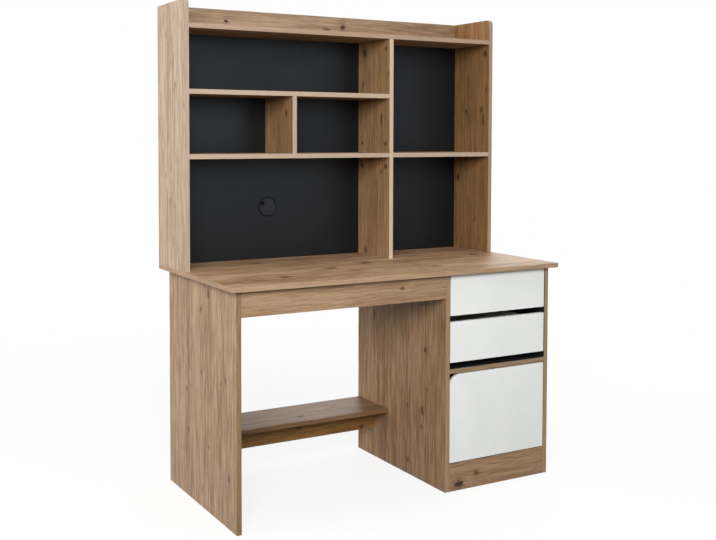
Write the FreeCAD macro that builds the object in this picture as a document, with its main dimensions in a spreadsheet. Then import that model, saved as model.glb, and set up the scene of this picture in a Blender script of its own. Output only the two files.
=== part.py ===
import FreeCAD, Part
import os
import re
import Sketcher

# A student desk with a drawer pedestal and a shelf hutch: separate boards, slides, hinges and fasteners.
# +Z is up, the front faces -Y, and the origin lies on the floor below the middle of the desktop.

# Driving sizes in millimetres
SIZES = {
    # Whole desk
    "overall_width": 1250,
    "overall_depth": 650,
    "desk_height": 758,
    "board": 16,
    # Desk base
    "side_overhang": 23,
    "front_overhang": 26,
    "rear_overhang": 40,
    "pedestal_width": 442,
    "apron_height": 81,
    "foot_shelf_height": 204,
    "foot_shelf_depth": 206,
    "foot_shelf_inset": 10,
    "foot_rail_height": 79,
    "plinth_height": 96,
    "mid_shelf_height": 420,
    "back_sheet": 3,
    "back_sheet_inset": 1,
    # Hutch
    "hutch_depth": 260,
    "hutch_corner": 20,
    "back_recess": 20,
    "desk_bay_height": 371,
    "small_bay_height": 198,
    "upper_bay_height": 199,
    "rail_height": 78,
    "pin_hole_diameter": 8,
    "pin_hole_depth": 10,
    "pin_hole_inset": 28,
    "pin_hole_offset": 42.5,
    # Cable grommet, with its notch turned in degrees up from the right-hand side
    "grommet_height": 190,
    "grommet_hole": 60,
    "grommet_flange": 72,
    "grommet_flange_height": 2.5,
    "grommet_wall": 2.8,
    "grommet_play": 0.1,
    "grommet_cap_diameter": 64,
    "grommet_cap_height": 1.5,
    "cable_notch_width": 16,
    "cable_notch_depth": 15,
    "cable_notch_turn": 150,
    # Drawers
    "finger_gap": 21.5,
    "front_gap": 3,
    "drawer_board": 12,
    "drawer_rear_gap": 68,
    "drawer_rise": 14,
    "drawer_drop": 22,
    "groove_rise": 10,
    "groove_depth": 6,
    "sheet_play": 0.2,
    # Telescopic slides
    "slide_space": 12.5,
    "slide_sheet": 1.2,
    "slide_height": 35,
    "slide_rear_gap": 48,
    "slide_setback": 2,
    "slide_play": 0.3,
    "outer_reach": 9,
    "middle_start": 2.4,
    "middle_reach": 10.4,
    "inner_reach": 5,
    # Door and hinges
    "door_gap": 3,
    "door_corner": 50,
    "hinge_inset": 60,
    "cup_diameter": 35,
    "cup_depth": 12.5,
    "cup_play": 0.1,
    "cup_wall": 0.8,
    "cup_edge": 22.5,
    "cup_plate_width": 38,
    "cup_plate_height": 62,
    "cup_plate_sheet": 1,
    "pin_inset": 13,
    "pin_depth": 7.5,
    "pin_radius": 1.25,
    "pin_play": 0.05,
    "knuckle_radius": 2.4,
    "arm_sheet": 2,
    "arm_width": 16,
    "arm_neck": 9,
    "arm_bend": 4,
    "arm_crank": 18,
    "arm_length": 40,
    "plate_sheet": 2,
    "plate_height": 44,
    "plate_length": 42,
    # Fasteners
    "cam_diameter": 15,
    "cam_depth": 12.5,
    "cam_setback": 24,
    "cam_inset": 80,
    "cam_slot": 7,
    "bolt_diameter": 6,
    "bolt_bore": 8,
    "bolt_seat": 11,
    "bolt_reach": 3,
    "dowel_diameter": 8,
    "dowel_length": 30,
    "dowel_seat": 10,
    "dowel_inset": 50,
    "fastener_play": 0.1,
}

# Places along X, Y and Z, written with the sizes above
LEFT = "(-overall_width / 2)"
RIGHT = "(overall_width / 2)"
LEG_OUTER = "(side_overhang - overall_width / 2)"
LEG_INNER = "(side_overhang + board - overall_width / 2)"
PEDESTAL_RIGHT = "(overall_width / 2 - side_overhang)"
PEDESTAL_INNER_RIGHT = "(overall_width / 2 - side_overhang - board)"
PEDESTAL_LEFT = "(overall_width / 2 - side_overhang - pedestal_width)"
PEDESTAL_INNER_LEFT = "(overall_width / 2 - side_overhang - pedestal_width + board)"
HUTCH_INNER_LEFT = "(board - overall_width / 2)"
HUTCH_INNER_RIGHT = "(overall_width / 2 - board)"
BAY_MIDDLE = f"(({HUTCH_INNER_LEFT} + {PEDESTAL_LEFT}) / 2)"
DRAWER_LEFT = f"({PEDESTAL_INNER_LEFT} + slide_space)"
DRAWER_RIGHT = f"({PEDESTAL_INNER_RIGHT} - slide_space)"
DOOR_RIGHT = f"({PEDESTAL_INNER_RIGHT} - door_gap)"
PIN_X = f"({DOOR_RIGHT} - pin_inset)"

FRONT = "(-overall_depth / 2)"
REAR = "(overall_depth / 2)"
BASE_FRONT = "(front_overhang - overall_depth / 2)"
BEHIND_FRONTS = "(front_overhang + board - overall_depth / 2)"
BASE_REAR = "(overall_depth / 2 - rear_overhang)"
FOOT_SHELF_REAR = f"({BASE_REAR} - foot_shelf_inset)"
FOOT_SHELF_FRONT = f"({FOOT_SHELF_REAR} - foot_shelf_depth)"
FOOT_SHELF_MIDDLE = f"({FOOT_SHELF_REAR} - foot_shelf_depth / 2)"
HUTCH_FRONT = "(overall_depth / 2 - hutch_depth)"
BACK_FACE = "(overall_depth / 2 - back_recess - board)"
BACK_REAR = "(overall_depth / 2 - back_recess)"
DRAWER_REAR = f"({BASE_REAR} - drawer_rear_gap)"
SLIDE_FRONT = f"({BEHIND_FRONTS} + slide_setback)"
SLIDE_REAR = f"({DRAWER_REAR} - slide_rear_gap)"
PIN_Y = f"({BASE_FRONT} + pin_depth)"

FLOOR = "0"
UNDER_TOP = "(desk_height - board)"
UNDER_FOOT_SHELF = "(foot_shelf_height - board)"
UNDER_MID_SHELF = "(mid_shelf_height - board)"
MIDDLE_SHELF = "(desk_height + desk_bay_height)"
UPPER_SHELF = f"({MIDDLE_SHELF} + board + small_bay_height)"
TOP_SHELF = f"({UPPER_SHELF} + board + upper_bay_height)"
HUTCH_TOP = f"({TOP_SHELF} + board + rail_height)"
GROMMET_Z = "(desk_height + grommet_height)"
DOOR_BOTTOM = "(plinth_height + door_gap)"
DOOR_TOP = f"({UNDER_MID_SHELF} - door_gap)"
FRONT_HEIGHT = f"(({UNDER_TOP} - mid_shelf_height - 2 * finger_gap - front_gap) / 2)"
DRAWER_BOTTOMS = {
    "upper": f"(mid_shelf_height + 2 * finger_gap + {FRONT_HEIGHT})",
    "lower": "(mid_shelf_height + finger_gap)",
}
HINGE_HEIGHTS = {
    "upper": f"({DOOR_TOP} - hinge_inset)",
    "lower": f"({DOOR_BOTTOM} + hinge_inset)",
}

PLANES = {"x": "YZ_Plane", "y": "XZ_Plane", "z": "XY_Plane"}
ACROSS = {"x": "yz", "y": "xz", "z": "xy"}
TURNS = {
    "x": FreeCAD.Rotation(FreeCAD.Vector(0, 1, 0), 90),
    "y": FreeCAD.Rotation(FreeCAD.Vector(1, 0, 0), -90),
    "z": FreeCAD.Rotation(),
}

doc = FreeCAD.newDocument("StudentDesk")
sheet = doc.addObject("Spreadsheet::Sheet", "Sizes")
for row, (size_name, size_value) in enumerate(SIZES.items(), start=1):
    sheet.set(f"A{row}", size_name)
    sheet.set(f"B{row}", str(size_value))
    sheet.setAlias(f"B{row}", size_name)
doc.recompute()

nodes = []
boards = {}
holes = {}
slots = {}
cam_locks = []
cam_bolts = []
dowels = []


def bound(text):
    """An expression in which each size name stands for the driving size."""
    return re.sub(r"[a-z_]+", lambda word: f"Sizes.{word[0]}" if word[0] in SIZES else word[0], text)


def bind(item, prop, text):
    item.setExpression(prop, bound(text))


def place(item, point):
    for letter, text in zip("xyz", point):
        bind(item, f"Placement.Base.{letter}", text)


def new_body(name, point):
    body = doc.addObject("PartDesign::Body", name)
    body.Label = name
    place(body, point)
    nodes.append(body)
    return body


def sketch_on(body, name, axis, at="0"):
    """A sketch square to an axis of the body, at a distance along it."""
    sketch = body.newObject("Sketcher::SketchObject", name)
    plane = next(item for item in body.Origin.OriginFeatures if item.Role == PLANES[axis])
    sketch.AttachmentSupport = [(plane, "")]
    sketch.MapMode = "FlatFace"
    bind(sketch, "AttachmentOffset.Base.z", f"-({at})" if axis == "y" else at)
    return sketch


def constrain(sketch, rule, value):
    """One dimension of a sketch, driven by the sizes."""
    index = sketch.addConstraint(Sketcher.Constraint(*rule, 1.0))
    bind(sketch, f"Constraints[{index}]", value)


def outline(sketch, points):
    """A closed run of straight edges with each corner at its own place."""
    first = sketch.GeometryCount
    count = len(points)
    for index in range(count):
        start = FreeCAD.Vector(index, index * index, 0)
        end = FreeCAD.Vector(index + 1, (index + 1) ** 2, 0)
        sketch.addGeometry(Part.LineSegment(start, end))
    for index, (across, up) in enumerate(points):
        edge = first + index
        following = first + (index + 1) % count
        sketch.addConstraint(Sketcher.Constraint("Coincident", edge, 2, following, 1))
        constrain(sketch, ("DistanceX", -1, 1, edge, 1), across)
        constrain(sketch, ("DistanceY", -1, 1, edge, 1), up)


def rectangle(sketch, low, high):
    outline(sketch, [low, (high[0], low[1]), high, (low[0], high[1])])


def circle(sketch, centre, radius):
    index = sketch.addGeometry(Part.Circle(FreeCAD.Vector(), FreeCAD.Vector(0, 0, 1), 1))
    constrain(sketch, ("Radius", index), radius)
    constrain(sketch, ("DistanceX", -1, 1, index, 3), centre[0])
    constrain(sketch, ("DistanceY", -1, 1, index, 3), centre[1])


def pad(body, sketch, axis, length, towards=1, both_ways=False):
    """Grows a sketch along its axis, or half of the length each way."""
    feature = body.newObject("PartDesign::Pad", f"{sketch.Name}_pad")
    feature.Profile = sketch
    bind(feature, "Length", length)
    feature.Midplane = both_ways
    feature.Reversed = (towards < 0) != (axis == "y")
    return feature


def pocket(body, sketch, axis, depth, towards):
    """Cuts a sketch into the body along its axis."""
    feature = body.newObject("PartDesign::Pocket", f"{sketch.Name}_pocket")
    feature.Profile = sketch
    bind(feature, "Length", depth)
    feature.Reversed = (towards > 0) != (axis == "y")
    return feature


def board(name, low, high, thin):
    """Notes a flat board between two corners; thin is the axis through its thickness."""
    boards[name] = (low, high, thin)
    holes[name] = {}
    slots[name] = []


def drill(name, axis, towards, diameter, depth, point):
    """Notes a blind hole that starts at a point on a board's face."""
    face = point["xyz".index(axis)]
    holes[name].setdefault((axis, towards, face, diameter, depth), []).append(point)


def slot(name, axis, towards, depth, low, high):
    """Notes a rectangular groove between two points of a board's face."""
    slots[name].append((axis, towards, depth, low, high))


def make_board(name):
    """Builds a noted board with its grooves and holes."""
    low, high, thin = boards[name]
    body = new_body(name, low)
    sizes = {letter: f"{top} - {bottom}" for letter, bottom, top in zip("xyz", low, high)}
    profile = sketch_on(body, f"{name}_profile", thin)
    rectangle(profile, ("0", "0"), [sizes[letter] for letter in ACROSS[thin]])
    pad(body, profile, thin, sizes[thin])
    for number, (axis, towards, depth, start, end) in enumerate(slots[name]):
        index = "xyz".index(axis)
        sides = ["xyz".index(letter) for letter in ACROSS[axis]]
        groove = sketch_on(body, f"{name}_groove_{number}", axis, f"{start[index]} - {low[index]}")
        corners = [tuple(f"{point[side]} - {low[side]}" for side in sides) for point in (start, end)]
        rectangle(groove, *corners)
        pocket(body, groove, axis, depth, towards)
    for number, ((axis, towards, face, diameter, depth), points) in enumerate(holes[name].items()):
        index = "xyz".index(axis)
        sides = ["xyz".index(letter) for letter in ACROSS[axis]]
        bores = sketch_on(body, f"{name}_holes_{number}", axis, f"{face} - {low[index]}")
        for point in points:
            circle(bores, [f"{point[side]} - {low[side]}" for side in sides], f"{diameter} / 2")
        pocket(body, bores, axis, depth, towards)
    return body


def round_corner(body, radius, towards):
    """Rounds the straight edge that lies furthest in a direction."""
    doc.recompute()
    base = body.Tip
    edges = base.Shape.Edges
    furthest = max(range(len(edges)), key=lambda index: edges[index].CenterOfMass.dot(towards))
    feature = body.newObject("PartDesign::Fillet", f"{body.Name}_corner")
    feature.Base = (base, [f"Edge{furthest + 1}"])
    bind(feature, "Radius", radius)
    return feature


def rod(name, axis, point, radius, length):
    """A plain cylinder that starts at a point and runs along an axis."""
    item = doc.addObject("Part::Cylinder", name)
    item.Placement = FreeCAD.Placement(FreeCAD.Vector(), TURNS[axis])
    bind(item, "Radius", radius)
    bind(item, "Height", length)
    place(item, point)
    return item


def moved(point, axis, distance):
    """A point shifted along an axis."""
    index = "xyz".index(axis)
    return tuple(f"({text} + {distance})" if place_index == index else text
                 for place_index, text in enumerate(point))


def along(axis, towards, point, distance, length):
    """The low end of a length that starts at a distance from a point, in the direction given."""
    if towards > 0:
        return moved(point, axis, distance)
    return moved(point, axis, f"(-({distance}) - ({length}))")


def dowel_joint(end_board, face_board, axis, towards, point):
    """A dowel through the meeting face of two boards, with its longer half in the board's end.

    The point lies on the meeting face, and towards points from the face board into the end board.
    """
    drill(face_board, axis, -towards, "dowel_diameter", "dowel_seat", point)
    drill(end_board, axis, towards, "dowel_diameter", "(dowel_length - dowel_seat)", point)
    start = along(axis, towards, point, "(-dowel_seat)", "dowel_length")
    name = f"dowel_{len(dowels) + 1}"
    dowels.append(rod(name, axis, start, "(dowel_diameter / 2 - fastener_play)", "dowel_length"))


def cam_joint(end_board, face_board, axis, towards, point, cam_axis, cam_towards, cam_face):
    """A bolt screwed into one board's face and drawn up by a cam lock in the other board's end.

    The cam is let into the end board at cam_face, its surface along cam_axis, and is slotted for the bolt.
    """
    drill(face_board, axis, -towards, "bolt_diameter", "bolt_seat", point)
    drill(end_board, axis, towards, "bolt_bore", "cam_setback", point)
    centre = along(axis, towards, point, "cam_setback", "0")
    mouth = tuple(cam_face if letter == cam_axis else text for letter, text in zip("xyz", centre))
    drill(end_board, cam_axis, cam_towards, "cam_diameter", "cam_depth", mouth)
    number = len(cam_locks) + 1
    bolt_length = "(bolt_seat + cam_setback + bolt_reach)"
    bolt_start = along(axis, towards, point, "(-bolt_seat)", bolt_length)
    bolt_radius = "(bolt_diameter / 2 - fastener_play)"
    cam_bolts.append(rod(f"cam_bolt_{number}", axis, bolt_start, bolt_radius, bolt_length))
    drum = rod(f"cam_drum_{number}", cam_axis, along(cam_axis, cam_towards, mouth, "0", "cam_depth"),
               "(cam_diameter / 2 - fastener_play)", "cam_depth")
    passage = doc.addObject("Part::Box", f"cam_passage_{number}")
    sides = dict.fromkeys("xyz", "cam_slot")
    sides[axis] = "(cam_diameter / 2 + bolt_reach + fastener_play)"
    corner = along(axis, towards, centre, "(-cam_diameter / 2)", sides[axis])
    for letter, prop in zip("xyz", ("Length", "Width", "Height")):
        bind(passage, prop, sides[letter])
        if letter != axis:
            corner = moved(corner, letter, "(-cam_slot / 2)")
    place(passage, corner)
    lock = doc.addObject("Part::Cut", f"cam_lock_{number}")
    lock.Base = drum
    lock.Tool = passage
    cam_locks.append(lock)


def group(name, members):
    """Like fasteners as one node of separate solids."""
    item = doc.addObject("Part::Compound", name)
    item.Label = name
    item.Links = members
    nodes.append(item)


# Desk boards
board("desktop", (LEFT, FRONT, UNDER_TOP), (RIGHT, REAR, "desk_height"), "z")
board("desk_left_side", (LEG_OUTER, BASE_FRONT, FLOOR), (LEG_INNER, BASE_REAR, UNDER_TOP), "x")
board("pedestal_left_side", (PEDESTAL_LEFT, BASE_FRONT, FLOOR),
      (PEDESTAL_INNER_LEFT, BASE_REAR, UNDER_TOP), "x")
board("pedestal_right_side", (PEDESTAL_INNER_RIGHT, BASE_FRONT, FLOOR),
      (PEDESTAL_RIGHT, BASE_REAR, UNDER_TOP), "x")
board("front_apron", (LEG_INNER, BASE_FRONT, f"({UNDER_TOP} - apron_height)"),
      (PEDESTAL_LEFT, BEHIND_FRONTS, UNDER_TOP), "y")
board("foot_shelf", (LEG_INNER, FOOT_SHELF_FRONT, UNDER_FOOT_SHELF),
      (PEDESTAL_LEFT, FOOT_SHELF_REAR, "foot_shelf_height"), "z")
board("foot_rail",
      (LEG_INNER, f"({FOOT_SHELF_MIDDLE} - board / 2)", f"({UNDER_FOOT_SHELF} - foot_rail_height)"),
      (PEDESTAL_LEFT, f"({FOOT_SHELF_MIDDLE} + board / 2)", UNDER_FOOT_SHELF), "y")
board("plinth", (PEDESTAL_INNER_LEFT, BASE_FRONT, FLOOR),
      (PEDESTAL_INNER_RIGHT, BEHIND_FRONTS, "plinth_height"), "y")
board("pedestal_bottom", (PEDESTAL_INNER_LEFT, BEHIND_FRONTS, "(plinth_height - board)"),
      (PEDESTAL_INNER_RIGHT, BASE_REAR, "plinth_height"), "z")
board("pedestal_mid_shelf", (PEDESTAL_INNER_LEFT, BASE_FRONT, UNDER_MID_SHELF),
      (PEDESTAL_INNER_RIGHT, BASE_REAR, "mid_shelf_height"), "z")
board("pedestal_back",
      (f"({PEDESTAL_LEFT} + back_sheet_inset)", BASE_REAR, "(plinth_height - board + back_sheet_inset)"),
      (f"({PEDESTAL_RIGHT} - back_sheet_inset)", f"({BASE_REAR} + back_sheet)",
       f"({UNDER_TOP} - back_sheet_inset)"), "y")

# Hutch boards
board("hutch_left_side", (LEFT, HUTCH_FRONT, "desk_height"), (HUTCH_INNER_LEFT, REAR, HUTCH_TOP), "x")
board("hutch_right_side", (HUTCH_INNER_RIGHT, HUTCH_FRONT, "desk_height"), (RIGHT, REAR, HUTCH_TOP), "x")
board("hutch_top_shelf", (HUTCH_INNER_LEFT, HUTCH_FRONT, TOP_SHELF),
      (HUTCH_INNER_RIGHT, BACK_REAR, f"({TOP_SHELF} + board)"), "z")
board("hutch_top_rail", (HUTCH_INNER_LEFT, BACK_FACE, f"({TOP_SHELF} + board)"),
      (HUTCH_INNER_RIGHT, BACK_REAR, HUTCH_TOP), "y")
board("hutch_divider", (PEDESTAL_LEFT, HUTCH_FRONT, "desk_height"),
      (PEDESTAL_INNER_LEFT, BACK_REAR, TOP_SHELF), "x")
board("hutch_upper_shelf", (HUTCH_INNER_LEFT, HUTCH_FRONT, UPPER_SHELF),
      (PEDESTAL_LEFT, BACK_FACE, f"({UPPER_SHELF} + board)"), "z")
board("hutch_middle_shelf", (HUTCH_INNER_LEFT, HUTCH_FRONT, MIDDLE_SHELF),
      (PEDESTAL_LEFT, BACK_FACE, f"({MIDDLE_SHELF} + board)"), "z")
board("hutch_right_shelf", (PEDESTAL_INNER_LEFT, HUTCH_FRONT, MIDDLE_SHELF),
      (HUTCH_INNER_RIGHT, BACK_FACE, f"({MIDDLE_SHELF} + board)"), "z")
board("hutch_short_divider", (f"({BAY_MIDDLE} - board / 2)", HUTCH_FRONT, f"({MIDDLE_SHELF} + board)"),
      (f"({BAY_MIDDLE} + board / 2)", BACK_FACE, UPPER_SHELF), "x")
board("hutch_back_left", (HUTCH_INNER_LEFT, BACK_FACE, "desk_height"),
      (PEDESTAL_LEFT, BACK_REAR, TOP_SHELF), "y")
board("hutch_back_right", (PEDESTAL_INNER_LEFT, BACK_FACE, "desk_height"),
      (HUTCH_INNER_RIGHT, BACK_REAR, TOP_SHELF), "y")

# Drawer boards: a white front, two grooved sides, a back and a thin bottom
for which, bottom in DRAWER_BOTTOMS.items():
    side_bottom = f"({bottom} + drawer_rise)"
    side_top = f"({bottom} + {FRONT_HEIGHT} - drawer_drop)"
    sheet_bottom = f"({side_bottom} + groove_rise)"
    sheet_top = f"({sheet_bottom} + back_sheet)"
    groove_top = f"({sheet_top} + sheet_play)"
    left_inner = f"({DRAWER_LEFT} + drawer_board)"
    right_inner = f"({DRAWER_RIGHT} - drawer_board)"
    sheet_reach = "(groove_depth - sheet_play)"
    board(f"{which}_drawer_front", (f"({PEDESTAL_INNER_LEFT} + front_gap)", BASE_FRONT, bottom),
          (f"({PEDESTAL_INNER_RIGHT} - front_gap)", BEHIND_FRONTS, f"({bottom} + {FRONT_HEIGHT})"), "y")
    board(f"{which}_drawer_side_left", (DRAWER_LEFT, BEHIND_FRONTS, side_bottom),
          (left_inner, DRAWER_REAR, side_top), "x")
    board(f"{which}_drawer_side_right", (right_inner, BEHIND_FRONTS, side_bottom),
          (DRAWER_RIGHT, DRAWER_REAR, side_top), "x")
    board(f"{which}_drawer_back", (left_inner, f"({DRAWER_REAR} - drawer_board)", sheet_top),
          (right_inner, DRAWER_REAR, side_top), "y")
    board(f"{which}_drawer_bottom", (f"({left_inner} - {sheet_reach})", BEHIND_FRONTS, sheet_bottom),
          (f"({right_inner} + {sheet_reach})", DRAWER_REAR, sheet_top), "z")
    slot(f"{which}_drawer_side_left", "x", -1, "groove_depth",
         (left_inner, BEHIND_FRONTS, sheet_bottom), (left_inner, DRAWER_REAR, groove_top))
    slot(f"{which}_drawer_side_right", "x", 1, "groove_depth",
         (right_inner, BEHIND_FRONTS, sheet_bottom), (right_inner, DRAWER_REAR, groove_top))

# The door, inset between the plinth and the shelf above
board("door", (f"({PEDESTAL_INNER_LEFT} + door_gap)", BASE_FRONT, DOOR_BOTTOM),
      (DOOR_RIGHT, BEHIND_FRONTS, DOOR_TOP), "y")
for height in HINGE_HEIGHTS.values():
    drill("door", "y", -1, "cup_diameter", "cup_depth", (f"({DOOR_RIGHT} - cup_edge)", BEHIND_FRONTS, height))

# Bare pin holes above and below the middle shelf, and the cable hole
SHELF_MIDDLE = f"({MIDDLE_SHELF} + board / 2)"
for depth_place in (f"({HUTCH_FRONT} + pin_hole_inset)", f"({BACK_FACE} - pin_hole_inset)"):
    for sign in ("+", "-"):
        drill("hutch_divider", "x", 1, "pin_hole_diameter", "pin_hole_depth",
              (PEDESTAL_LEFT, depth_place, f"({SHELF_MIDDLE} {sign} pin_hole_offset)"))
drill("hutch_back_left", "y", 1, "grommet_hole", "board", (BAY_MIDDLE, BACK_FACE, GROMMET_Z))

# Cam locks that draw the desktop onto its sides
SIDE_MIDDLES = {
    "desk_left_side": (f"({LEG_OUTER} + board / 2)", -1, LEG_INNER),
    "pedestal_left_side": (f"({PEDESTAL_LEFT} + board / 2)", -1, PEDESTAL_INNER_LEFT),
    "pedestal_right_side": (f"({PEDESTAL_RIGHT} - board / 2)", 1, PEDESTAL_INNER_RIGHT),
}
for side_name, (middle, inwards, inner_face) in SIDE_MIDDLES.items():
    for depth_place in (f"({BASE_FRONT} + cam_inset)", f"({BASE_REAR} - cam_inset)"):
        cam_joint(side_name, "desktop", "z", -1, (middle, depth_place, UNDER_TOP), "x", inwards, inner_face)

# Dowels that stand the hutch on the desktop
HUTCH_SIDE_MIDDLES = {
    "hutch_left_side": f"({LEFT} + board / 2)",
    "hutch_right_side": f"({RIGHT} - board / 2)",
}
for side_name, middle in HUTCH_SIDE_MIDDLES.items():
    for depth_place in (f"({HUTCH_FRONT} + dowel_inset)", f"({BACK_REAR} - dowel_inset)"):
        dowel_joint(side_name, "desktop", "z", 1, (middle, depth_place, "desk_height"))

# Build the boards, and round the corners that show
for board_name in boards:
    made = make_board(board_name)
    if board_name == "door":
        round_corner(made, "door_corner", FreeCAD.Vector(-1, 0, 1))
    elif board_name in ("hutch_left_side", "hutch_right_side"):
        round_corner(made, "hutch_corner", FreeCAD.Vector(0, -1, 1))


def slide_member(name, sign, point, web, inwards, reach, half_height):
    """One rolled channel of a slide: a web at a distance from the pedestal side, and two flanges.

    inwards is the side of web on which the metal lies, and sign mirrors the left hand into the right.
    """
    body = new_body(name, point)
    profile = sketch_on(body, f"{name}_profile", "y")
    inner_web = f"({web} {inwards} slide_sheet)"
    inner_height = f"({half_height} - slide_sheet)"
    corners = [(web, f"-{half_height}"), (reach, f"-{half_height}"), (reach, f"-{inner_height}"),
               (inner_web, f"-{inner_height}"), (inner_web, inner_height), (reach, inner_height),
               (reach, half_height), (web, half_height)]
    outline(profile, [(f"{sign} * {across}", up) for across, up in corners])
    pad(body, profile, "y", f"{SLIDE_REAR} - {SLIDE_FRONT}")


# Slides of both drawers: an outer channel on the pedestal, one on the drawer, and one that runs between them
SLIDE_MEMBERS = {
    "outer": ("0", "+", "outer_reach", "(slide_height / 2)"),
    "middle": ("middle_start", "+", "middle_reach", "(slide_height / 2 - slide_sheet - slide_play)"),
    "inner": ("slide_space", "-", "inner_reach", "(slide_height / 2 - 2 * slide_sheet - 2 * slide_play)"),
}
for which, bottom in DRAWER_BOTTOMS.items():
    slide_z = f"({bottom} + (drawer_rise + {FRONT_HEIGHT} - drawer_drop) / 2)"
    for hand, sign, face in (("left", 1, PEDESTAL_INNER_LEFT), ("right", -1, PEDESTAL_INNER_RIGHT)):
        point = (face, SLIDE_FRONT, slide_z)
        for member, (web, inwards, reach, half_height) in SLIDE_MEMBERS.items():
            name = f"{which}_slide_{member}_{hand}"
            slide_member(name, sign, point, web, inwards, reach, half_height)


def hinge_cup(which, height):
    """The pressed cup let into the door, with its screw plate, and the pin riveted across it."""
    name = f"{which}_hinge_cup"
    body = new_body(name, (f"({DOOR_RIGHT} - cup_edge)", BEHIND_FRONTS, height))
    outer = "(cup_diameter / 2 - cup_play)"
    inner = "(cup_diameter / 2 - cup_play - cup_wall)"
    shell = sketch_on(body, f"{name}_shell", "y")
    circle(shell, ("0", "0"), outer)
    pad(body, shell, "y", "cup_depth", towards=-1)
    plate = sketch_on(body, f"{name}_plate", "y")
    rectangle(plate, ("-cup_plate_width / 2", "-cup_plate_height / 2"),
              ("cup_plate_width / 2", "cup_plate_height / 2"))
    pad(body, plate, "y", "cup_plate_sheet")
    hollow = sketch_on(body, f"{name}_hollow", "y", "cup_plate_sheet")
    circle(hollow, ("0", "0"), inner)
    pocket(body, hollow, "y", "(cup_plate_sheet + cup_depth - cup_wall)", -1)
    pin = sketch_on(body, f"{name}_pin", "z")
    circle(pin, ("cup_edge - pin_inset", "pin_depth - board"), "pin_radius")
    half_chord = f"sqrt(({inner} + cup_wall / 2) ^ 2 - (cup_edge - pin_inset + pin_radius) ^ 2)"
    pad(body, pin, "z", f"2 * {half_chord}", both_ways=True)


def hinge_arm(which, height):
    """The cranked strip from the pin, round the door's edge, to the plate on the pedestal side."""
    name = f"{which}_hinge_arm"
    body = new_body(name, (PIN_X, PIN_Y, height))
    half = "(arm_sheet / 2)"
    mitre = "(arm_sheet / 2 * (sqrt(2) - 1))"
    bend = "(arm_neck + arm_bend)"
    seat = "(pin_inset + door_gap - plate_sheet)"
    rear = "(arm_crank + arm_length)"
    strip = sketch_on(body, f"{name}_strip", "z")
    outline(strip, [
        ("0", "0"),
        (f"-arm_neck - {mitre}", "0"),
        (f"-{bend} - {half}", f"{half} + arm_bend - {mitre}"),
        (f"-{bend} - {half}", f"arm_crank + {half}"),
        (f"{seat} - arm_sheet", f"arm_crank + {half}"),
        (f"{seat} - arm_sheet", rear),
        (seat, rear),
        (seat, f"arm_crank - {half}"),
        (f"-{bend} + {half}", f"arm_crank - {half}"),
        (f"-{bend} + {half}", f"{half} + arm_bend + {mitre}"),
        (f"-arm_neck + {mitre}", "arm_sheet"),
        ("0", "arm_sheet"),
    ])
    pad(body, strip, "z", "arm_width", both_ways=True)
    knuckle = sketch_on(body, f"{name}_knuckle", "z")
    circle(knuckle, ("0", "0"), "knuckle_radius")
    pad(body, knuckle, "z", "arm_width", both_ways=True)
    bore = sketch_on(body, f"{name}_bore", "z", "arm_width / 2")
    circle(bore, ("0", "0"), "(pin_radius + pin_play)")
    pocket(body, bore, "z", "arm_width", -1)


def hinge_plate(which, height):
    """The plate screwed to the pedestal side under the arm."""
    name = f"{which}_hinge_plate"
    rear = f"({PIN_Y} + arm_crank + arm_length)"
    front = f"({rear} - plate_length)"
    board(name, (f"({PEDESTAL_INNER_RIGHT} - plate_sheet)", front, f"({height} - plate_height / 2)"),
          (PEDESTAL_INNER_RIGHT, rear, f"({height} + plate_height / 2)"), "x")
    make_board(name)


for which, height in HINGE_HEIGHTS.items():
    hinge_cup(which, height)
    hinge_arm(which, height)
    hinge_plate(which, height)


def grommet_sleeve():
    """The flanged liner of the cable hole, with a shallow seat for its cap."""
    body = new_body("grommet_sleeve", (BAY_MIDDLE, BACK_FACE, GROMMET_Z))
    flange = sketch_on(body, "grommet_flange_ring", "y")
    circle(flange, ("0", "0"), "grommet_flange / 2")
    pad(body, flange, "y", "grommet_flange_height", towards=-1)
    liner = sketch_on(body, "grommet_liner", "y")
    circle(liner, ("0", "0"), "grommet_hole / 2 - grommet_play")
    pad(body, liner, "y", "board")
    seat = sketch_on(body, "grommet_seat", "y", "-grommet_flange_height")
    circle(seat, ("0", "0"), "grommet_cap_diameter / 2 + grommet_play")
    pocket(body, seat, "y", "grommet_cap_height", 1)
    passage = sketch_on(body, "grommet_passage", "y", "board")
    circle(passage, ("0", "0"), "grommet_hole / 2 - grommet_play - grommet_wall")
    pocket(body, passage, "y", "(board + grommet_flange_height)", -1)


def grommet_cap():
    """The turning cap in the liner's seat, with a notch for cables."""
    body = new_body("grommet_cap", (BAY_MIDDLE, f"({BACK_FACE} - grommet_flange_height)", GROMMET_Z))
    disc = sketch_on(body, "grommet_disc", "y")
    circle(disc, ("0", "0"), "grommet_cap_diameter / 2")
    pad(body, disc, "y", "grommet_cap_height")
    notch = sketch_on(body, "grommet_notch", "y")
    near = "(grommet_cap_diameter / 2 - cable_notch_depth)"
    far = "grommet_cap_diameter"
    low, high = "(-cable_notch_width / 2)", "(cable_notch_width / 2)"
    outline(notch, [(f"{reach} * cos(cable_notch_turn) - {side} * sin(cable_notch_turn)",
                     f"{reach} * sin(cable_notch_turn) + {side} * cos(cable_notch_turn)")
                    for reach, side in ((near, low), (far, low), (far, high), (near, high))])
    pocket(body, notch, "y", "grommet_cap_height", 1)


grommet_sleeve()
grommet_cap()

group("cam_locks", cam_locks)
group("cam_bolts", cam_bolts)
group("dowels", dowels)

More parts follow.
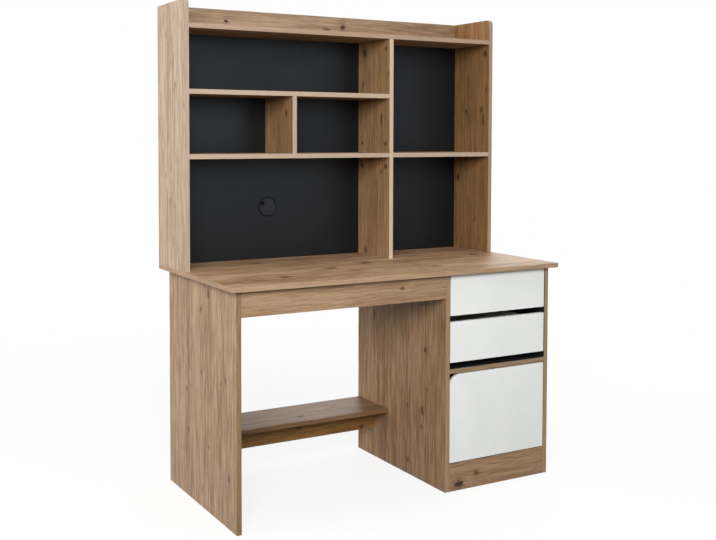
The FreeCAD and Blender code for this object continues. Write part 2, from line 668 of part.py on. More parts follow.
# Check every object before anything is written
doc.recompute()
failed = [item.Name for item in doc.Objects if {"Invalid", "Error"} & set(item.State)]
for item in doc.Objects:
    if item.isDerivedFrom("PartDesign::Pocket"):
        if item.BaseFeature.Shape.Volume - item.Shape.Volume < 1:
            failed.append(f"{item.Name} cuts nothing")
for item in nodes:
    if item.Shape.isNull() or not item.Shape.isValid():
        failed.append(f"{item.Label} has no sound shape")
if failed:
    raise RuntimeError(f"Failed: {failed}")

os.makedirs("parts", exist_ok=True)
for item in nodes:
    item.Shape.exportStep(f"parts/{item.Label}.step")
print(len(nodes), "nodes written")
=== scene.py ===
import math

import bpy
from mathutils import Matrix, Vector


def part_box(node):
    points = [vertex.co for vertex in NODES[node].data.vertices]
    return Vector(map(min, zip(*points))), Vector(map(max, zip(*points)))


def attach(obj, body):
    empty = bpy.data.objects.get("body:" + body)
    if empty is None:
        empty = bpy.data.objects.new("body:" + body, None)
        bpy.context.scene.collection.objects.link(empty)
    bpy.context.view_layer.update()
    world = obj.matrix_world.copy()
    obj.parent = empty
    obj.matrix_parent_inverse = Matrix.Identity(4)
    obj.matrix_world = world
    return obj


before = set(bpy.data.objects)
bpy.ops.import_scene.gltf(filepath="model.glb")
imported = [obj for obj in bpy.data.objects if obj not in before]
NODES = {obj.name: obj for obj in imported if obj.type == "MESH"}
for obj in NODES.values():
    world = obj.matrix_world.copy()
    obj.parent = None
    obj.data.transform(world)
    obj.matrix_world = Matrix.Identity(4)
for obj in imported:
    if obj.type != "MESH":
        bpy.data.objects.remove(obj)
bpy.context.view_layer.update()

AXES = "xyz"


# Wiring nodes

def colour(red, green, blue):
    """A colour in screen values, as the linear values that sockets take, by the sRGB curve."""
    def straight(value):
        value /= 255
        return value / 12.92 if value <= 0.04045 else ((value + 0.055) / 1.055) ** 2.4
    return (straight(red), straight(green), straight(blue), 1.0)


class Wiring:
    """A node tree, with short ways to set nodes down and wire them together."""

    # A mix node has two inputs and an output for each kind of value that it can mix.
    VECTOR_INPUTS = (4, 5)
    VECTOR_OUTPUT = 1
    COLOUR_INPUTS = (6, 7)
    COLOUR_OUTPUT = 2

    def __init__(self, tree):
        self.tree = tree

    def put(self, value, socket):
        """Wires another node's socket to that one, or sets a plain value on it."""
        if isinstance(value, bpy.types.NodeSocket):
            self.tree.links.new(value, socket)
        else:
            socket.default_value = value

    def add(self, kind, *inputs, settings=None, **named):
        """A node of that kind. Inputs go by place or by name, and None leaves one as it is."""
        made = self.tree.nodes.new(kind)
        for name, value in (settings or {}).items():
            setattr(made, name, value)
        for key, value in [*enumerate(inputs), *named.items()]:
            if value is not None:
                self.put(value, made.inputs[key.replace("_", " ") if isinstance(key, str) else key])
        return made

    def work_out(self, operation, *values):
        """A number worked out from others."""
        return self.add("ShaderNodeMath", *values, settings={"operation": operation}).outputs[0]

    def plus(self, first, second):
        return self.work_out("ADD", first, second)

    def minus(self, first, second):
        return self.work_out("SUBTRACT", first, second)

    def times(self, first, second):
        return self.work_out("MULTIPLY", first, second)

    def larger(self, first, second):
        return self.work_out("MAXIMUM", first, second)

    def above(self, value, limit):
        """1 where the value is above the limit, and 0 elsewhere."""
        return self.work_out("GREATER_THAN", value, limit)

    def below(self, value, limit):
        """1 where the value is below the limit, and 0 elsewhere."""
        return self.work_out("LESS_THAN", value, limit)

    def vector(self, operation, *values):
        """A vector worked out from others, or the length of one."""
        made = self.add("ShaderNodeVectorMath", *values, settings={"operation": operation})
        return made.outputs["Value" if operation == "LENGTH" else "Vector"]

    def stretch(self, vector, scale):
        return self.vector("MULTIPLY", vector, scale)

    def split(self, vector):
        """A vector's three parts."""
        return self.add("ShaderNodeSeparateXYZ", vector).outputs

    def join(self, *parts):
        """One vector from three parts."""
        return self.add("ShaderNodeCombineXYZ", *parts).outputs[0]

    def noise(self, vector, scale=1.0, detail=2.0, roughness=0.5, out="Fac"):
        return self.add("ShaderNodeTexNoise", Vector=vector, Scale=scale, Detail=detail,
                        Roughness=roughness).outputs[out]

    def fit(self, value, span, onto=(0.0, 1.0)):
        """The value eased from one span onto another, and held at its ends."""
        return self.add("ShaderNodeMapRange", value, *span, *onto,
                        settings={"interpolation_type": "SMOOTHSTEP"}).outputs[0]

    def mix(self, share, first, second, way="MIX"):
        """The first colour, with that share of the second."""
        made = self.add("ShaderNodeMix", share, settings={"data_type": "RGBA", "blend_type": way})
        for index, value in zip(self.COLOUR_INPUTS, (first, second)):
            self.put(value, made.inputs[index])
        return made.outputs[self.COLOUR_OUTPUT]

    def mix_vectors(self, share, first, second):
        """The first vector, with that share of the second."""
        made = self.add("ShaderNodeMix", share, settings={"data_type": "VECTOR"})
        for index, value in zip(self.VECTOR_INPUTS, (first, second)):
            self.put(value, made.inputs[index])
        return made.outputs[self.VECTOR_OUTPUT]

    def ramp(self, value, stops):
        """A colour by the value, from stops of place and colour."""
        made = self.add("ShaderNodeValToRGB", value)
        elements = made.color_ramp.elements
        while len(elements) < len(stops):
            elements.new(0.5)
        for element, (place, shade) in zip(elements, stops.items()):
            element.position = place
            element.color = colour(*shade)
        return made.outputs["Color"]


def new_group(name, inputs, outputs, kind="ShaderNodeTree"):
    """A node group with those sockets, its wiring, and its inputs by name."""
    tree = bpy.data.node_groups.new(name, kind)
    for way, sockets in (("INPUT", inputs), ("OUTPUT", outputs)):
        for label, holds in sockets.items():
            tree.interface.new_socket(label, in_out=way, socket_type="NodeSocket" + holds)
    net = Wiring(tree)
    return tree, net, net.add("NodeGroupInput").outputs


def new_material(name, **shader):
    """A material with its wiring and its shader. Values that are the same all over go on the shader."""
    material = bpy.data.materials.new(name)
    material.use_nodes = True
    principled = material.node_tree.nodes["Principled BSDF"]
    for label, value in shader.items():
        principled.inputs[label.replace("_", " ")].default_value = value
    return material, Wiring(material.node_tree), principled


def place_on(net):
    """A point's place in the model, in metres."""
    return net.add("ShaderNodeTexCoord").outputs["Object"]


def wire(net, principled, base, roughness, height, depth, strength):
    """Wires a material's colour, roughness and fine relief to its shader."""
    bump = net.add("ShaderNodeBump", Strength=strength, Distance=depth, Height=height)
    for label, value in (("Base Color", base), ("Roughness", roughness), ("Normal", bump.outputs[0])):
        net.put(value, principled.inputs[label])


# Spans of a noise: nearly all of it, and its middle. HALF is the mean of a noise's three colours.
MOST = (0.3, 0.7)
CENTRE = (0.35, 0.65)
HALF = (0.5, 0.5, 0.5)
# From full to nothing over a span.
FADING = (1.0, 0.0)


# Oak decor

# The layers of the figure: how often each repeats in a metre along, across and through a board, and how fine
# its noise is.
LAYERS = {
    "sway": dict(repeats=(1.6, 6.0, 6.0), out="Color"),
    "band": dict(repeats=(0.8, 9.0, 9.0), detail=2.0),
    "streak": dict(repeats=(3.4, 62.0, 62.0), detail=4.0, roughness=0.65),
    "line": dict(repeats=(11.0, 190.0, 190.0), detail=3.0, roughness=0.6),
    "fleck": dict(repeats=(13.0, 150.0, 150.0), detail=2.0),
    "fibre": dict(repeats=(16.0, 900.0, 900.0), detail=2.0, roughness=0.6),
    "pore": dict(repeats=(55.0, 1500.0, 1500.0), detail=1.0),
    "warmth": dict(repeats=(1.3, 21.0, 21.0), detail=1.0),
    "ragged": dict(repeats=(60.0, 160.0, 160.0), out="Color"),
}
SWAY_REACH = (0.0, 0.026, 0.026)
FIGURE_SHARES = {"band": 0.24, "streak": 0.34, "line": 0.42}
FIGURE_SPAN = (0.28, 0.72)
FIGURE_MEAN = 0.5

# How far the other layers go into the shade: the span of a noise, and the share of a colour that it brings.
ROSY_SPAN = (0.50, 0.66)
ROSY_SHARE = (0.0, 0.35)
OLIVE_SPAN = (0.50, 0.34)
OLIVE_SHARE = (0.0, 0.6)
FLECK_SPAN = (0.60, 0.74)
FLECK_SHARE = 0.42
FIBRE_SPAN = (0.35, 0.7)
FIBRE_SHARE = (0.0, 0.30)
PORE_SPAN = (0.60, 0.72)
PORE_SHARE = 0.35
RING_SHARE = 0.45
EDGE_BAND_SHARE = 0.7

# How rough the decor is, how much rougher its knots are, and what each layer adds to its relief.
OAK_ROUGHNESS = (0.64, 0.54)
KNOT_ROUGHNESS = 0.15
FIBRE_RELIEF = 0.5
PORE_RELIEF = 0.5
KNOT_RELIEF = 0.7

# The decor's colours. The tones run from the dark of the figure to its light, by their places on the ramp.
OAK_TONES = {0.0: (118, 88, 60), 0.32: (152, 121, 90), 0.58: (171, 141, 110), 1.0: (194, 166, 136)}
ROSY_CAST = colour(255, 240, 232)
OLIVE_CAST = colour(250, 250, 228)
FLECK_BROWN = colour(112, 82, 56)
FIBRE_BROWN = colour(150, 118, 90)
PORE_BROWN = colour(96, 70, 50)
RING_BROWN = colour(156, 112, 86)
KNOT_BROWN = colour(52, 33, 24)
# Painted light and sheen: the pale grey beige that a board's Pale share mixes in.
PAINTED_LIGHT_BEIGE = colour(226, 212, 196)
# Bare chipboard, darkened with painted shade, for the walls of holes.
CHIPBOARD_AND_HOLE_SHADE = colour(70, 50, 35)
# Painted shade: a flat black for the faces round the drawers, which the finger gaps leave in deep shadow.
GAP_SHADE_BLACK = colour(24, 25, 27)

# A knot, in shares of its half size: where its core and its halo fade, the scale that spreads the halo along
# and across the grain, how ragged the knot's outline is, and how far the grain bows round it.
CORE_FADE = (0.55, 1.0)
CORE_DARK = (1.25, 0.0)
HALO_FADE = (0.2, 1.0)
HALO_SCALE = (0.55, 0.3, 0.0)
RAGGED_REACH = (1.5, 1.5, 0.0)
GRAIN_BOW = -0.62

# The small knots that lie about by chance: their cells in a metre, the chance above which a cell has one,
# the largest one, where its spot and its ring fade, and how dark they are. LEAST_KNOT stands in where a cell
# has none, so that nothing is divided by zero.
KNOT_CELLS = (2.3, 9.0, 9.0)
KNOT_CHANCE = (0.62, 1.0)
LARGEST_KNOT = 0.075
LEAST_KNOT = 0.0001
SPOT_FADE = (0.5, 1.1)
SPOT_DARK = (0.35, 0.8)
RING_FADE = (0.8, 3.2)
RING_DARK = 0.6


def layer(net, grain, name):
    """One layer of the figure, as a noise on the grain's own coordinates."""
    look = dict(LAYERS[name])
    return net.noise(net.stretch(grain, look.pop("repeats")), **look)


def make_knot_group():
    """One knot or crack: it darkens a long oval and bows the grain round it."""
    tree, net, given = new_group(
        "oak knot",
        {"Grain": "Vector", "Ragged": "Vector", "Dark": "Float", "Ring": "Float",
         "Centre": "Vector", "Half size": "Vector", "Darkness": "Float"},
        {"Grain": "Vector", "Dark": "Float", "Ring": "Float"})
    away = net.vector("SUBTRACT", given["Grain"], given["Centre"])
    place = net.vector("DIVIDE", away, given["Half size"])
    place = net.vector("ADD", place, given["Ragged"])
    flat = net.stretch(place, (1.0, 1.0, 0.0))
    core = net.fit(net.vector("LENGTH", flat), CORE_FADE, CORE_DARK)
    core = net.times(core, given["Darkness"])
    halo = net.fit(net.vector("LENGTH", net.stretch(flat, HALO_SCALE)), HALO_FADE, FADING)
    halo = net.times(halo, given["Darkness"])
    across = net.split(away)[1]
    bow = net.join(0.0, net.times(across, net.times(halo, GRAIN_BOW)), 0.0)
    out = net.add("NodeGroupOutput").inputs
    net.put(net.vector("ADD", given["Grain"], bow), out["Grain"])
    net.put(net.larger(given["Dark"], core), out["Dark"])
    net.put(net.larger(given["Ring"], halo), out["Ring"])
    return tree


def chance_knots(net, grain, wild):
    """The spots and the rings of small knots that lie about by chance, one in every few cells."""
    cells = net.add("ShaderNodeTexVoronoi", Vector=net.stretch(grain, KNOT_CELLS), Scale=1.0).outputs
    chance = net.add("ShaderNodeSeparateColor", cells["Color"]).outputs
    size = net.fit(chance[0], KNOT_CHANCE, (0.0, LARGEST_KNOT))
    inside = net.work_out("DIVIDE", cells["Distance"], net.plus(size, LEAST_KNOT))
    spot = net.times(net.fit(inside, SPOT_FADE, FADING), wild)
    spot = net.times(spot, net.fit(chance[1], (0.0, 1.0), SPOT_DARK))
    ring = net.times(net.fit(inside, RING_FADE, FADING), wild)
    return spot, net.times(ring, RING_DARK)


def make_oak_group():
    """Oak decor from a place whose X runs along the grain: bands, streaks, fibres and small knots."""
    tree, net, given = new_group(
        "oak decor",
        {"Grain": "Vector", "Dark": "Float", "Ring": "Float", "Wild": "Float", "Bold": "Float",
         "Pale": "Float", "Tone": "Color", "Band": "Float", "Band colour": "Color"},
        {"Colour": "Color", "Roughness": "Float", "Height": "Float"})
    drift = net.vector("SUBTRACT", layer(net, given["Grain"], "sway"), HALF)
    grain = net.vector("ADD", given["Grain"], net.stretch(drift, SWAY_REACH))
    spot, ring = chance_knots(net, grain, given["Wild"])
    dark = net.larger(given["Dark"], spot)
    ring = net.larger(given["Ring"], ring)

    band, streak, line = (layer(net, grain, name) for name in FIGURE_SHARES)
    figure = net.plus(net.times(band, FIGURE_SHARES["band"]), net.times(streak, FIGURE_SHARES["streak"]))
    figure = net.plus(figure, net.times(line, FIGURE_SHARES["line"]))
    figure = net.work_out("MULTIPLY_ADD", net.minus(figure, FIGURE_MEAN), given["Bold"], FIGURE_MEAN)
    fibre = layer(net, grain, "fibre")
    fleck = net.fit(layer(net, grain, "fleck"), FLECK_SPAN)
    pores = net.fit(layer(net, grain, "pore"), PORE_SPAN)
    warmth = layer(net, grain, "warmth")

    shade = net.ramp(net.fit(figure, FIGURE_SPAN), OAK_TONES)
    shade = net.mix(net.fit(warmth, ROSY_SPAN, ROSY_SHARE), shade, ROSY_CAST, "MULTIPLY")
    shade = net.mix(net.fit(warmth, OLIVE_SPAN, OLIVE_SHARE), shade, OLIVE_CAST, "MULTIPLY")
    shade = net.mix(net.times(fleck, FLECK_SHARE), shade, FLECK_BROWN)
    shade = net.mix(net.fit(fibre, FIBRE_SPAN, FIBRE_SHARE), shade, FIBRE_BROWN, "MULTIPLY")
    shade = net.mix(net.times(pores, PORE_SHARE), shade, PORE_BROWN)
    shade = net.mix(net.times(ring, RING_SHARE), shade, RING_BROWN, "MULTIPLY")
    shade = net.mix(dark, shade, KNOT_BROWN)
    # Painted light: the Pale share pales and greys the decor for boards where light and sheen fall more
    # strongly.
    shade = net.mix(given["Pale"], shade, PAINTED_LIGHT_BEIGE)
    # Painted shade: on some boards the Tone darkens and warms the decor for the shade that falls on them.
    shade = net.mix(1.0, shade, given["Tone"], "MULTIPLY")
    banded = net.mix(EDGE_BAND_SHARE, shade, given["Band colour"])
    shade = net.mix(given["Band"], shade, banded)

    roughness = net.plus(net.fit(streak, MOST, OAK_ROUGHNESS), net.times(dark, KNOT_ROUGHNESS))
    height = net.minus(net.times(fibre, FIBRE_RELIEF), net.times(pores, PORE_RELIEF))
    height = net.minus(height, net.times(dark, KNOT_RELIEF))
    out = net.add("NodeGroupOutput").inputs
    net.put(shade, out["Colour"])
    net.put(roughness, out["Roughness"])
    net.put(height, out["Height"])
    return tree


KNOT = make_knot_group()
OAK = make_oak_group()

# How squarely a face looks along an axis before it counts as looking that way.
SQUARELY = 0.7
# Steps along, across and through the decor that lay each board in a part of it of its own.
DECOR_STEPS = (3.1, 0.37, 0.73)
# Walls further inside a board's outline than this are walls of its holes.
OUTLINE_DEPTH = 0.0015


def lay_knots(net, flat, knots):
    """Sets knots into a board's grain: the grain that bows round them, their dark and their rings."""
    ragged = net.vector("SUBTRACT", layer(net, flat, "ragged"), HALF)
    ragged = net.stretch(ragged, RAGGED_REACH)
    grain, dark, ring = flat, 0.0, 0.0
    for along, across, half_length, half_width, darkness in knots:
        knot = net.add("ShaderNodeGroup", settings={"node_tree": KNOT}, Grain=grain, Ragged=ragged,
                       Dark=dark, Ring=ring, Centre=(along, across, 0.0),
                       Half_size=(half_length, half_width, 1.0), Darkness=darkness)
        grain, dark, ring = (knot.outputs[label] for label in ("Grain", "Dark", "Ring"))
    return grain, dark, ring


def hole_walls(net, board, place, edge, axes):
    """1 on the walls of a board's holes, which are edges that lie inside its outline."""
    low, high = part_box(board)
    for index in axes:
        away = net.work_out("ABSOLUTE", net.minus(place[index], (low[index] + high[index]) / 2))
        edge = net.times(edge, net.below(away, (high[index] - low[index]) / 2 - OUTLINE_DEPTH))
    return edge


def oak_board(name, number, grain, thickness, tone=(255, 255, 255), pale=0.0, bold=1.0, band=None, wild=0.0,
              knots=(), bored=False, gap_shade=None):
    """The decor of one board: grain along one axis, banded edges, and the knots that show on it.

    A knot is (place along the grain, place across it, half length, half width, how dark it is).
    A gap shade is (axis that its face looks along, way, height that it starts at): black painted as shade
    round the drawers.
    """
    material, net, principled = new_material("oak_" + name, Specular_IOR_Level=0.35)
    across = next(axis for axis in AXES if axis not in (grain, thickness))
    coordinates = net.add("ShaderNodeTexCoord").outputs
    place = net.split(coordinates["Object"])
    normal = net.split(coordinates["Normal"])
    facing = net.split(net.vector("ABSOLUTE", coordinates["Normal"]))
    along, over, through = (place[AXES.index(axis)] for axis in (grain, across, thickness))
    end = net.above(facing[AXES.index(grain)], SQUARELY)
    edge = net.below(facing[AXES.index(thickness)], SQUARELY)

    laid, dark, ring = lay_knots(net, net.join(along, over, through), knots)
    laid = net.mix_vectors(end, laid, net.join(over, through, along))
    own = net.add("ShaderNodeMapping", laid, tuple(step * number for step in DECOR_STEPS)).outputs[0]
    oak = net.add("ShaderNodeGroup", settings={"node_tree": OAK}, Grain=own, Dark=dark, Ring=ring, Wild=wild,
                  Bold=bold, Pale=pale, Tone=colour(*tone), Band=edge if band else 0.0,
                  Band_colour=colour(*(band or tone))).outputs
    shade = oak["Colour"]
    # Painted shade: the walls of the holes are painted a dark chipboard brown for the shade inside them.
    if bored:
        walls = hole_walls(net, name, place, edge, [AXES.index(axis) for axis in (grain, across)])
        shade = net.mix(walls, shade, CHIPBOARD_AND_HOLE_SHADE)
    # Painted shade: faces that look that way, from that height up, are painted black for the shadow in the
    # finger gaps.
    if gap_shade:
        axis, way, height = gap_shade
        inner = net.above(net.times(normal[AXES.index(axis)], way), SQUARELY)
        inner = net.times(inner, net.above(place[AXES.index("z")], height))
        shade = net.mix(inner, shade, GAP_SHADE_BLACK)
    wire(net, principled, shade, oak["Roughness"], oak["Height"], depth=0.0003, strength=0.3)
    return material


# The spare pin holes in the divider: in from its front and from the back boards, and above and below the
# middle shelf. Painted shade darkens their rims, laid as knots: half length, half width and how dark.
PIN_INSET = 0.028
PIN_OFFSET = 0.0425
FRONT_HOLE_SHADE = (0.009, 0.008, 0.9)
REAR_HOLE_SHADE = (0.007, 0.007, 0.75)


def pin_hole_shade():
    """Knots that paint shade round the rims of the divider's pin holes."""
    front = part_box("hutch_divider")[0].y + PIN_INSET
    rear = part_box("hutch_back_left")[0].y - PIN_INSET
    low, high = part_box("hutch_middle_shelf")
    middle = (low.z + high.z) / 2
    return [(height, place, *rim) for place, rim in ((front, FRONT_HOLE_SHADE), (rear, REAR_HOLE_SHADE))
            for height in (middle + PIN_OFFSET, middle - PIN_OFFSET)]


# What sets each board apart: the way of its grain and of its thickness, the tone of its decor, darker on
# some boards as painted shade, how far it is paled as painted light and sheen, how bold its figure is, the
# colour of its edge band, its chance knots, and the knots that show.
LYING = dict(grain="x", thickness="z")
STANDING = dict(grain="z", thickness="x")
UPRIGHT = dict(grain="x", thickness="y")
PEDESTAL_BAND = (152, 126, 97)
SHELF_BAND = (184, 164, 146)
SHELF = dict(LYING, tone=(255, 252, 248), band=SHELF_BAND, wild=0.5)
# The painted black shade round the drawers starts at the top of the shelf under them.
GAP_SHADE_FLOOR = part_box("pedestal_mid_shelf")[1].z
BOARDS = {
    "desktop": dict(
        LYING, tone=(255, 252, 248), bold=2.3, band=(166, 137, 109), wild=0.2,
        knots=[(-0.384, -0.193, 0.024, 0.013, 0.9), (-0.152, -0.064, 0.028, 0.012, 0.85),
               (0.023, 0.005, 0.028, 0.014, 0.9), (-0.32, 0.18, 0.026, 0.012, 0.5),
               (-0.341, -0.29, 0.018, 0.008, 0.5), (0.193, -0.192, 0.024, 0.012, 0.85),
               (0.517, 0.03, 0.028, 0.014, 0.85)]),
    "desk_left_side": dict(
        STANDING, pale=0.05, bold=1.65, band=(114, 92, 62),
        knots=[(0.705, -0.075, 0.018, 0.008, 0.85), (0.646, -0.011, 0.012, 0.006, 0.7),
               (0.463, -0.009, 0.12, 0.0025, 0.3), (0.46, 0.095, 0.026, 0.006, 0.4),
               (0.436, 0.088, 0.008, 0.005, 0.6), (0.442, -0.013, 0.009, 0.006, 0.55),
               (0.36, 0.12, 0.01, 0.006, 0.6), (0.455, -0.214, 0.016, 0.004, 0.65),
               (0.44, -0.179, 0.008, 0.005, 0.35), (0.53, -0.175, 0.016, 0.006, 0.25),
               (0.223, 0.105, 0.012, 0.006, 0.65), (0.15, 0.151, 0.008, 0.005, 0.3),
               (0.214, -0.075, 0.008, 0.006, 0.5), (0.155, -0.238, 0.016, 0.005, 0.85),
               (0.058, -0.02, 0.018, 0.009, 0.3)]),
    # Painted shade: its tone is darker and warmer for the shade in the kneehole.
    "pedestal_left_side": dict(
        STANDING, tone=(247, 241, 231), pale=0.02, bold=1.4, band=PEDESTAL_BAND,
        # Painted shade: its inner face above the shelf is painted black for the shadow in the finger gaps.
        gap_shade=("x", 1.0, GAP_SHADE_FLOOR),
        knots=[(0.537, 0.166, 0.022, 0.005, 0.6), (0.465, -0.175, 0.012, 0.008, 0.6),
               (0.329, -0.187, 0.008, 0.006, 0.5), (0.247, -0.156, 0.02, 0.009, 0.6),
               (0.247, -0.064, 0.009, 0.007, 0.5), (0.191, -0.151, 0.01, 0.008, 0.4),
               (0.052, -0.067, 0.012, 0.007, 0.5), (0.2, -0.066, 0.13, 0.0025, 0.35)]),
    "pedestal_right_side": dict(
        # Painted shade: its inner face above the shelf is painted black for the shadow in the finger gaps.
        STANDING, tone=(255, 252, 250), band=PEDESTAL_BAND, wild=1.0, gap_shade=("x", -1.0, GAP_SHADE_FLOOR)),
    "front_apron": dict(
        UPRIGHT, tone=(246, 242, 236), pale=0.03, wild=0.3,
        knots=[(-0.014, 0.708, 0.012, 0.005, 0.6)]),
    # Painted shade: its tone is darker for the shade under the desktop.
    "foot_shelf": dict(
        LYING, tone=(188, 175, 158), wild=0.2,
        knots=[(-0.169, 0.13, 0.014, 0.008, 0.65), (0.002, 0.195, 0.016, 0.007, 0.4)]),
    # Painted shade: its tone is darker and warmer for the shade under the foot shelf.
    "foot_rail": dict(
        UPRIGHT, tone=(212, 189, 136), wild=0.2,
        knots=[(-0.157, 0.151, 0.012, 0.006, 0.4), (0.103, 0.119, 0.009, 0.006, 0.65)]),
    "plinth": dict(
        UPRIGHT, tone=(234, 231, 226), wild=0.2,
        knots=[(0.291, 0.05, 0.012, 0.009, 0.5), (0.217, 0.022, 0.024, 0.014, 0.85)]),
    "pedestal_bottom": dict(LYING, tone=(255, 254, 252), wild=0.6),
    # Painted shade: the top of this shelf is painted black for the shadow in the lower finger gap.
    "pedestal_mid_shelf": dict(LYING, tone=(228, 230, 236), wild=0.6, gap_shade=("z", 1.0, 0.0)),
    # Painted sheen: this board is paled strongly for the light and sheen on its outer face.
    "hutch_left_side": dict(
        STANDING, pale=0.24, bold=3.0, band=(166, 147, 130), wild=0.4,
        knots=[(1.549, 0.243, 0.008, 0.006, 0.6), (1.514, 0.218, 0.01, 0.005, 0.55),
               (1.449, 0.17, 0.03, 0.005, 0.5), (1.376, 0.154, 0.018, 0.007, 0.8),
               (1.357, 0.162, 0.012, 0.006, 0.65), (1.302, 0.072, 0.014, 0.004, 0.7),
               (1.072, 0.247, 0.016, 0.006, 0.5), (0.985, 0.211, 0.014, 0.005, 0.7),
               (0.97, 0.165, 0.012, 0.004, 0.5)]),
    # Painted shade: its tone is darker and warmer for the shade on its inner face, and so darkens its outer
    # face too.
    "hutch_right_side": dict(
        STANDING, tone=(219, 202, 174), band=(163, 141, 121),
        knots=[(1.525, 0.091, 0.014, 0.008, 0.65), (1.386, 0.08, 0.008, 0.005, 0.5),
               (1.309, 0.112, 0.012, 0.007, 0.6), (1.27, 0.1, 0.024, 0.01, 0.5),
               (1.305, 0.209, 0.012, 0.006, 0.65), (1.282, 0.2, 0.108, 0.0025, 0.45),
               (1.043, 0.264, 0.018, 0.01, 0.75), (1.111, 0.205, 0.016, 0.008, 0.25),
               (0.88, 0.15, 0.016, 0.006, 0.3)]),
    "hutch_top_shelf": dict(SHELF, band=(162, 140, 120)),
    "hutch_top_rail": dict(
        UPRIGHT, tone=(226, 231, 236), wild=0.2,
        knots=[(-0.385, 1.612, 0.008, 0.006, 0.9), (0.089, 1.615, 0.012, 0.011, 0.75),
               (0.02, 1.604, 0.018, 0.004, 0.6)]),
    # Painted shade: its tone is warmer and darker for the shade inside the hutch.
    "hutch_divider": dict(
        STANDING, tone=(253, 243, 222), pale=0.045, band=(206, 184, 160), bored=True,
        knots=[(1.52, 0.243, 0.02, 0.011, 0.75), (1.525, 0.091, 0.008, 0.006, 0.75),
               (1.404, 0.253, 0.014, 0.009, 0.55), (1.433, 0.076, 0.01, 0.006, 0.45),
               (1.271, 0.123, 0.024, 0.005, 0.85), (1.075, 0.122, 0.014, 0.006, 0.5),
               (0.774, 0.234, 0.016, 0.009, 0.65), (1.0, 0.15, 0.06, 0.0025, 0.25),
               # The last four knots are painted shade round the pin holes.
               *pin_hole_shade()]),
    "hutch_upper_shelf": SHELF,
    "hutch_middle_shelf": SHELF,
    "hutch_right_shelf": SHELF,
    # Painted shade: its tone is darker and warmer for the shade inside the hutch.
    "hutch_short_divider": dict(
        STANDING, tone=(247, 238, 226), band=SHELF_BAND, wild=0.2,
        knots=[(1.286, 0.115, 0.014, 0.007, 0.6)]),
}


# Other finishes

# The two tones that each finish goes between, and the tones that lie over them.
WHITE_TONES = (colour(231, 232, 227), colour(235, 235, 231))
CHARCOAL_TONES = (colour(13, 14, 16), colour(17, 18, 20))
CHARCOAL_PEARL = colour(24, 25, 27)
HARDBOARD_TONES = (colour(112, 82, 56), colour(150, 117, 84))
HARDBOARD_CLOUD = colour(120, 90, 62)
PRINT_TONES = (colour(212, 207, 199), colour(224, 220, 213))
LINEN_TONES = (colour(203, 198, 190), colour(224, 220, 213))
BEECH_TONES = (colour(206, 170, 130), colour(168, 126, 88))


def white_board():
    """Matt white front, with the faint cloudiness and soft pearl of its foil."""
    material, net, principled = new_material("white_front", Specular_IOR_Level=0.4)
    place = place_on(net)
    cloud = net.noise(place, scale=7.0, detail=3.0)
    pearl = net.noise(place, scale=1100.0, detail=1.0)
    base = net.mix(net.fit(cloud, CENTRE), *WHITE_TONES)
    roughness = net.fit(cloud, MOST, (0.40, 0.48))
    wire(net, principled, base, roughness, pearl, depth=0.0001, strength=0.12)
    return material


def black_board():
    """Charcoal board with a fine pearl, a little blue where the light lies on it."""
    material, net, principled = new_material("black_back", Specular_IOR_Level=0.2)
    place = place_on(net)
    cloud = net.noise(place, scale=5.0, detail=3.0)
    pearl = net.noise(place, scale=900.0, detail=2.0)
    base = net.mix(net.fit(cloud, MOST), *CHARCOAL_TONES)
    base = net.mix(net.fit(pearl, (0.4, 0.75), (0.0, 0.5)), base, CHARCOAL_PEARL)
    roughness = net.fit(cloud, MOST, (0.44, 0.36))
    wire(net, principled, base, roughness, pearl, depth=0.0001, strength=0.2)
    return material


def thin_sheet(name, axis, way):
    """Hardboard: bare brown fibres on the face that looks that way along the axis, pale print elsewhere."""
    material, net, principled = new_material(name, Specular_IOR_Level=0.4)
    coordinates = net.add("ShaderNodeTexCoord").outputs
    place = coordinates["Object"]
    facing = net.split(coordinates["Normal"])[AXES.index(axis)]
    bare_side = net.above(net.times(facing, way), SQUARELY)
    fleck = net.noise(place, scale=420.0, detail=3.0, roughness=0.7)
    cloud = net.noise(place, scale=9.0, detail=3.0)
    weave = net.noise(net.stretch(place, (260.0, 260.0, 30.0)), detail=1.0)
    bare = net.mix(net.fit(fleck, (0.35, 0.68)), *HARDBOARD_TONES)
    bare = net.mix(net.fit(cloud, MOST, (0.0, 0.35)), bare, HARDBOARD_CLOUD)
    printed = net.mix(net.fit(weave, MOST), *PRINT_TONES)
    base = net.mix(bare_side, printed, bare)
    roughness = net.fit(fleck, MOST, (0.75, 0.6))
    wire(net, principled, base, roughness, fleck, depth=0.0002, strength=0.25)
    return material


def drawer_board():
    """Drawer sides in pale linen foil, with threads both ways."""
    material, net, principled = new_material("drawer_linen", Specular_IOR_Level=0.4)
    place = place_on(net)
    lying = net.noise(net.stretch(place, (700.0, 30.0, 700.0)), detail=2.0)
    standing = net.noise(net.stretch(place, (700.0, 700.0, 30.0)), detail=2.0)
    threads = net.times(net.plus(lying, standing), 0.5)
    base = net.mix(net.fit(threads, (0.38, 0.62)), *LINEN_TONES)
    roughness = net.fit(threads, MOST, (0.62, 0.5))
    wire(net, principled, base, roughness, threads, depth=0.0002, strength=0.2)
    return material


